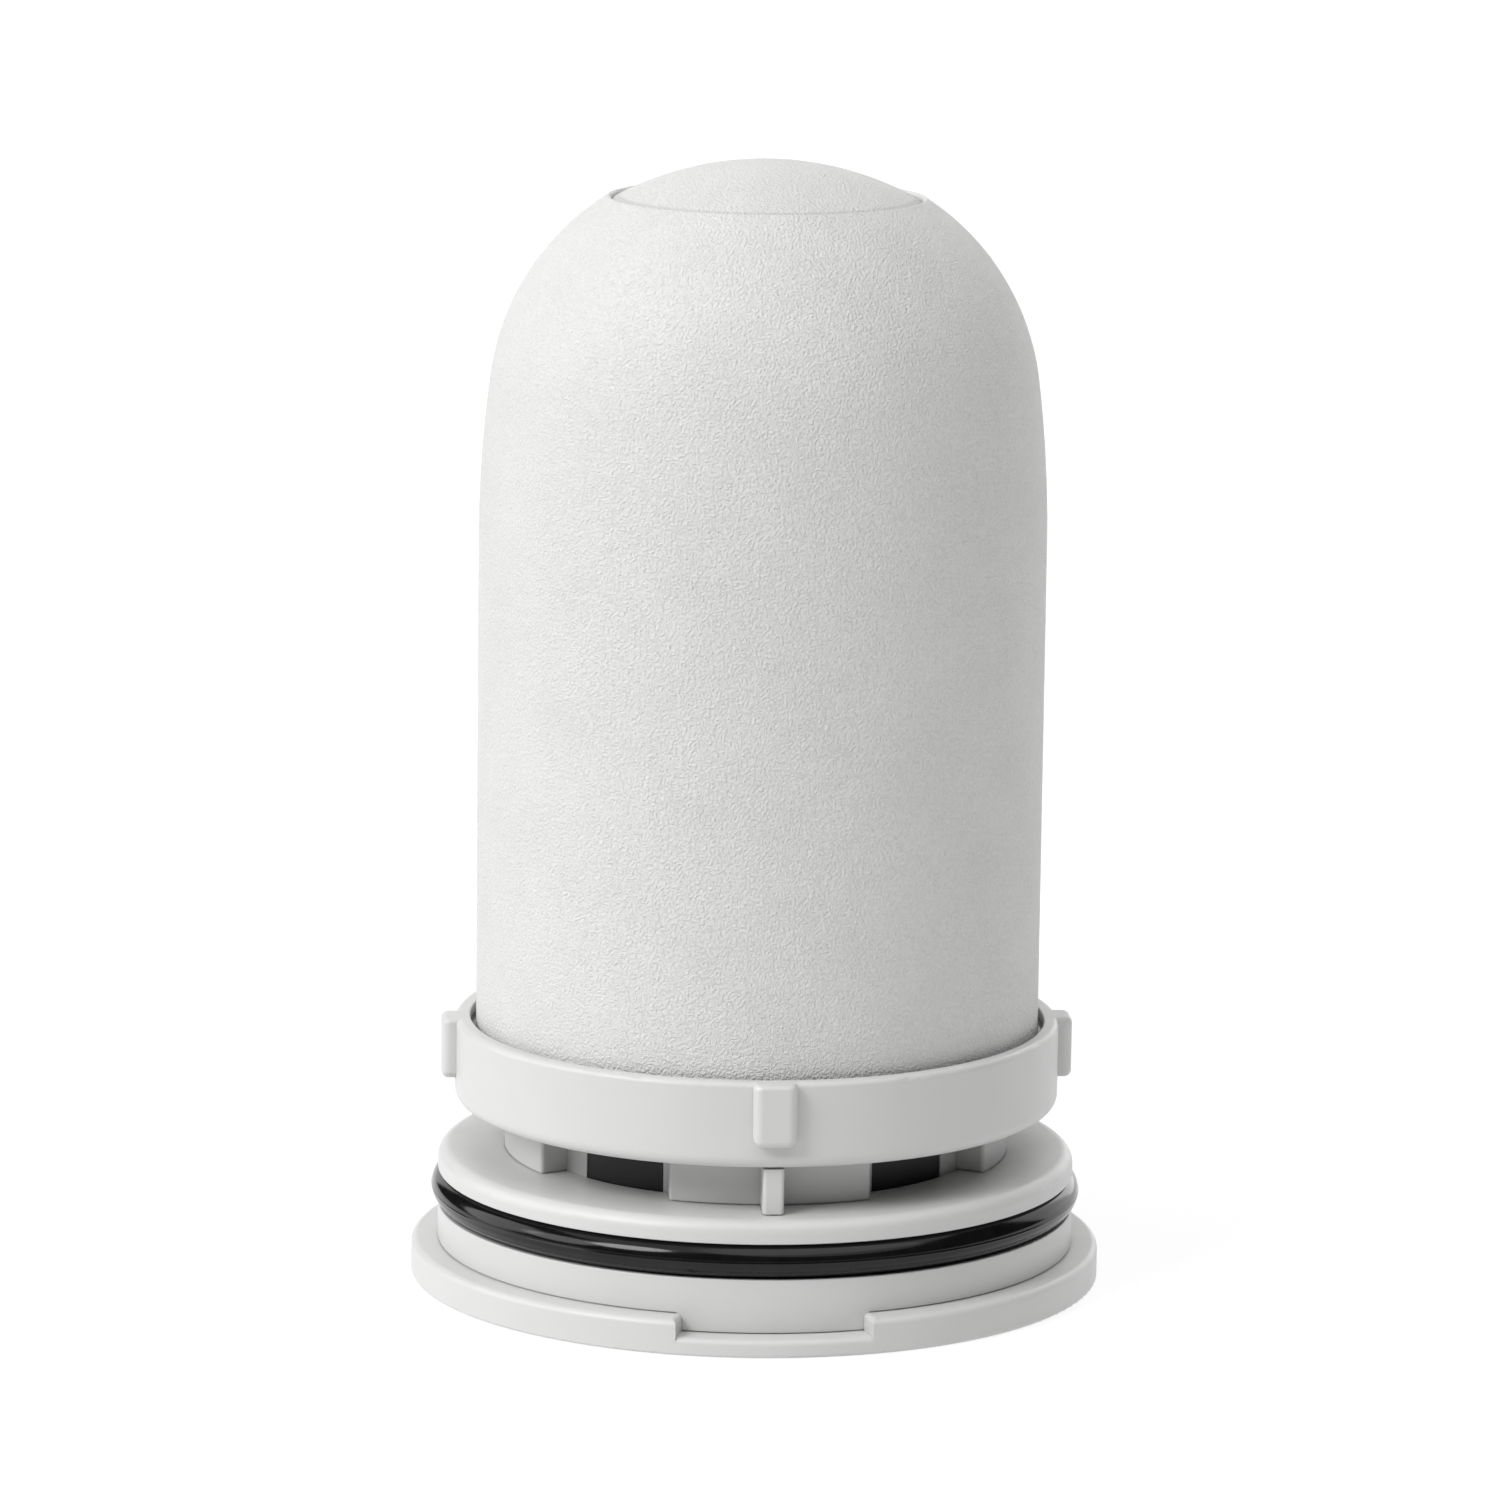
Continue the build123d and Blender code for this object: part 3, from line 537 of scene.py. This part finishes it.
def dome_shell():
    low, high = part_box("dome_shell")
    outer_r, inner_r = high.x, high.x - DOME_WALL
    skin = dome_skin(outer_r, 0, SEAT_R + RIM_ROUNDING, SKIN_STEP)
    lining = dome_skin(outer_r, DOME_WALL, OPENING_R, INNER_STEP)
    rim_centre = (SEAT_R + RIM_ROUNDING, skin[-1][1] - RIM_ROUNDING)
    foot_centre = (outer_r - FOOT_ROUNDING, low.z + FOOT_ROUNDING)
    profile = joined(
        run((inner_r, low.z), (foot_centre[0], low.z), INNER_STEP),
        bow(foot_centre, FOOT_ROUNDING, -90, 0, ROUNDING_STEP),
        run((outer_r, foot_centre[1]), (outer_r, DOME_STRAIGHT_TOP), SKIN_STEP),
        skin[:-1],
        bow(rim_centre, RIM_ROUNDING, RIM_START_ANGLE, 180, ROUNDING_STEP),
        run((SEAT_R, rim_centre[1]), (SEAT_R, SEAT_HEIGHT), INNER_STEP),
        run((SEAT_R, SEAT_HEIGHT), (OPENING_R, SEAT_HEIGHT), INNER_STEP),
        run((OPENING_R, SEAT_HEIGHT), lining[-1], INNER_STEP),
        lining[::-1],
        run((inner_r, DOME_STRAIGHT_TOP), (inner_r, low.z), INNER_STEP))
    shell = lathe("porous_dome", profile[:-1], DOME_SEGMENTS, closed=True)
    press_in(shell, SKIN_RELIEF_DEPTH, SKIN_RELIEF_SIZE,
             lambda place, normal: hypot(place.x, place.y) > SEAT_R + RIM_ROUNDING
             and normal.x * place.x + normal.y * place.y > 0)
    sharpen(shell)
    stand_for(shell, "dome_shell", "cover", "dome_ceramic")


def dome_cap():
    low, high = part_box("dome_cap")
    seat = SEAT_HEIGHT + CAP_SEAT_GAP
    sphere_z = high.z - CAP_SPHERE_R
    edge_centre_r = CAP_R - CAP_EDGE_ROUNDING
    edge_rise = sqrt((CAP_SPHERE_R - CAP_EDGE_ROUNDING) ** 2 - edge_centre_r ** 2)
    edge_angle = degrees(atan2(edge_rise, edge_centre_r))
    edge_centre = (edge_centre_r, sphere_z + edge_rise)
    profile = joined(
        run((0, CAP_HOLLOW_TOP), (CAP_HOLLOW_R, CAP_HOLLOW_TOP), INNER_STEP),
        run((CAP_HOLLOW_R, CAP_HOLLOW_TOP), (CAP_HOLLOW_R, low.z), INNER_STEP),
        run((CAP_HOLLOW_R, low.z), (CAP_PLUG_R, low.z), INNER_STEP),
        run((CAP_PLUG_R, low.z), (CAP_PLUG_R, seat), INNER_STEP),
        run((CAP_PLUG_R, seat), (CAP_R, seat), INNER_STEP),
        run((CAP_R, seat), (CAP_R, edge_centre[1]), INNER_STEP),
        bow(edge_centre, CAP_EDGE_ROUNDING, 0, edge_angle, ROUNDING_STEP),
        bow((0, sphere_z), CAP_SPHERE_R, edge_angle, 90, SKIN_STEP))
    profile[-1] = (0, high.z)
    cap = lathe("dome_cap_piece", profile, CAP_SEGMENTS, closed=False)
    press_in(cap, SKIN_RELIEF_DEPTH, SKIN_RELIEF_SIZE, lambda place, normal: normal.z > 0.5)
    sharpen(cap)
    stand_for(cap, "dome_cap", "cover", "dome_ceramic")


# ---------------------------------------------------------------- O-ring

# The plug's ring: a round section with the fine flash line that its mould leaves round the outside.
# Its angles are in degrees round the section, counted from straight outwards.
FLASH_HEIGHT = 0.03 * MM
FLASH_HALF_ANGLE = 1.6
RING_SEGMENTS = 360
SECTION_STEP = 6


def plug_ring():
    low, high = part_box("plug_o_ring")
    section = (high.z - low.z) / 2
    centre = (high.x - section, (low.z + high.z) / 2)
    plain = range(-180 + SECTION_STEP, 180 + SECTION_STEP, SECTION_STEP)
    corners = [(angle, 0) for angle in plain if abs(angle) >= SECTION_STEP]
    corners += [(-2 * FLASH_HALF_ANGLE, 0), (-FLASH_HALF_ANGLE, FLASH_HEIGHT),
                (FLASH_HALF_ANGLE, FLASH_HEIGHT), (2 * FLASH_HALF_ANGLE, 0)]
    profile = []
    for angle, proud in sorted(corners):
        reach = section + proud
        profile.append((centre[0] + reach * cos(radians(angle)), centre[1] + reach * sin(radians(angle))))
    ring = lathe("plug_seal_ring", profile, RING_SEGMENTS, closed=True)
    stand_for(ring, "plug_o_ring", "base", "black_rubber")


dress_nodes()
dome_shell()
dome_cap()
plug_ring()
add_floor()
add_lights()
add_camera()
